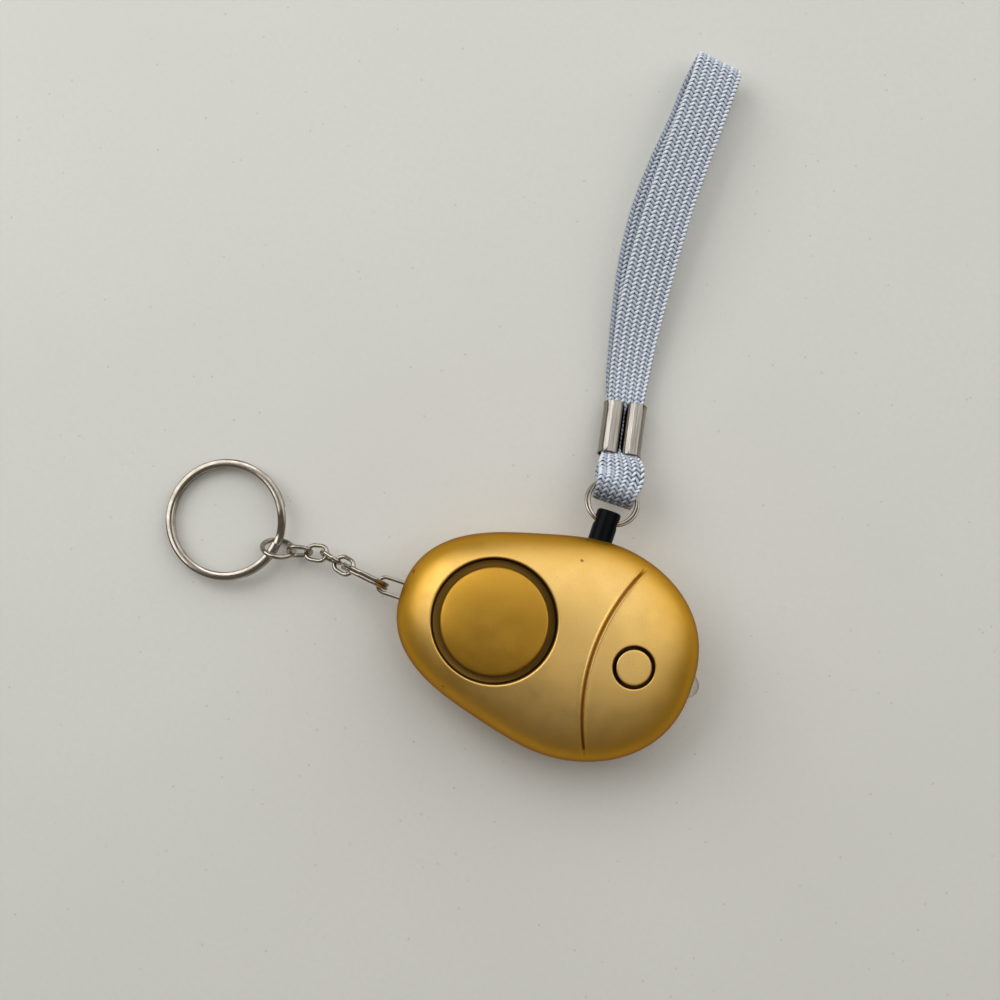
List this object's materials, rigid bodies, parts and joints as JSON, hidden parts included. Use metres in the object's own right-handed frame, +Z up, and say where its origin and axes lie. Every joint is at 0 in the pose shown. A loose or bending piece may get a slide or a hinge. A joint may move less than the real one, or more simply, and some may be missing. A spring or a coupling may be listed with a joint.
{
  "type": "personal safety alarm",
  "caption": "Egg-shaped personal safety alarm with a siren cover, a lamp and its button, a key chain, and a pull pin on a braided wrist strap.",
  "frame": {"origin": "centre of the flat rest face on the back of the case", "axes": "+X along the case to the lamp, +Y out along the pull pin, +Z up through the front with the siren cover and the button"},
  "size_m": [0.1163, 0.1482, 0.021],
  "materials": {
    "gold_shell": "satin metallic gold paint on moulded plastic",
    "black_plastic": "satin moulded",
    "clear_lens": "clear cast resin",
    "nickel": "bright nickel plate",
    "steel": "bright steel",
    "brass": "rolled sheet",
    "ceramic": "fired, matte",
    "foam": "closed-cell foam",
    "board": "green solder mask",
    "coil": "enamelled winding",
    "wire_skin": "plastic insulation",
    "braid": "flat braid"
  },
  "bodies": {
    "case": {"upper_shell": "gold_shell", "lower_shell": "gold_shell", "siren_cover": "gold_shell", "case_screws": "steel", "key_staple": "nickel", "piezo_plate": "brass", "piezo_ceramic": "ceramic", "piezo_gasket": "foam", "lamp": "clear_lens", "lamp_leads": "steel", "circuit_board": "board", "switch_body": "black_plastic", "siren_chip": "black_plastic", "boost_coil": "coil", "drive_transistor": "black_plastic", "chip_parts": "ceramic", "cell_1": "steel", "cell_2": "steel", "cell_3": "steel", "positive_contact": "nickel", "negative_contact": "nickel", "cell_spring": "steel", "leaf_terminal": "brass", "fixed_contact": "brass", "cell_wires": "wire_skin", "piezo_leads": "wire_skin"},
    "pull_pin": {"pull_pin": "black_plastic"},
    "contact_leaf": {"contact_leaf": "brass"},
    "light_button": {"light_button": "gold_shell"},
    "switch_plunger": {"switch_plunger": "black_plastic"},
    "strap_ring": {"strap_ring": "nickel"},
    "strap": {"strap_clip": "nickel", "wrist_strap": "braid"},
    "chain_ring": {"chain_ring": "nickel"},
    "chain_link_1": {"chain_link_1": "nickel"},
    "chain_link_2": {"chain_link_2": "nickel"},
    "chain_link_3": {"chain_link_3": "nickel"},
    "chain_link_4": {"chain_link_4": "nickel"},
    "jump_ring": {"jump_ring": "nickel"},
    "key_ring": {"key_ring": "nickel"}
  },
  "joints": [
    {"name": "pin_pull", "type": "slide", "parent": "case", "child": "pull_pin", "axis": [0, 1, 0], "range_m": [0, 0.0165]},
    {"name": "contact_close", "type": "hinge", "parent": "case", "child": "contact_leaf", "pos_m": [0.00545, 0.00498, 0.0114], "axis": [0, 0, 1], "range_deg": [0, 8]},
    {"name": "button_press", "type": "slide", "parent": "case", "child": "light_button", "axis": [0, 0, -1], "range_m": [0, 0.0005], "stiffness_N_per_m": 800, "springref_m": -0.0005},
    {"name": "plunger_press", "type": "slide", "parent": "case", "child": "switch_plunger", "axis": [0, 0, -1], "range_m": [0, 0.0005]},
    {"name": "chain_ring_swing", "type": "hinge", "parent": "case", "child": "chain_ring", "pos_m": [-0.0361, 0, 0.0105], "axis": [0, 1, 0], "range_deg": [-35, 45]},
    {"name": "chain_link_1_swing", "type": "hinge", "parent": "chain_ring", "child": "chain_link_1", "pos_m": [-0.0435, 0.00104, 0.00721], "axis": [-0.4028, 0.0566, 0.9135], "range_deg": [-25, 25]},
    {"name": "chain_link_2_swing", "type": "hinge", "parent": "chain_link_1", "child": "chain_link_2", "pos_m": [-0.04619, 0.00161, 0.00576], "axis": [0.2548, 0.9626, -0.0923], "range_deg": [-25, 25]},
    {"name": "chain_link_3_swing", "type": "hinge", "parent": "chain_link_2", "child": "chain_link_3", "pos_m": [-0.04949, 0.00208, 0.00415], "axis": [-0.3957, 0.2656, 0.8792], "range_deg": [-25, 25]},
    {"name": "chain_link_4_swing", "type": "hinge", "parent": "chain_link_3", "child": "chain_link_4", "pos_m": [-0.05298, 0.00146, 0.00308], "axis": [-0.0876, 0.9607, -0.2636], "range_deg": [-25, 25]},
    {"name": "jump_ring_swing", "type": "hinge", "parent": "chain_link_4", "child": "jump_ring", "pos_m": [-0.05654, 0.00044, 0.00321], "axis": [-0.0998, 0.4598, 0.8824], "range_deg": [-25, 25]},
    {"name": "key_ring_swing", "type": "hinge", "parent": "jump_ring", "child": "key_ring", "pos_m": [-0.06198, -0.00013, 0.00331], "axis": [-0.0728, 0.5546, -0.8289], "range_deg": [-15, 25]},
    {"name": "strap_ring_swing", "type": "hinge", "parent": "pull_pin", "child": "strap_ring", "pos_m": [0.004, 0.02628, 0.0105], "axis": [1, 0, 0], "range_deg": [-60, 95]},
    {"name": "strap_swing", "type": "hinge", "parent": "strap_ring", "child": "strap", "pos_m": [0.004, 0.03565, 0.00709], "axis": [1, 0, 0], "range_deg": [-15, 15]}
  ],
  "couplings": [
    {"joint": "contact_close", "follows": "pin_pull", "rad_per_m": 8.4},
    {"joint": "plunger_press", "follows": "button_press", "ratio": 1}
  ]
}
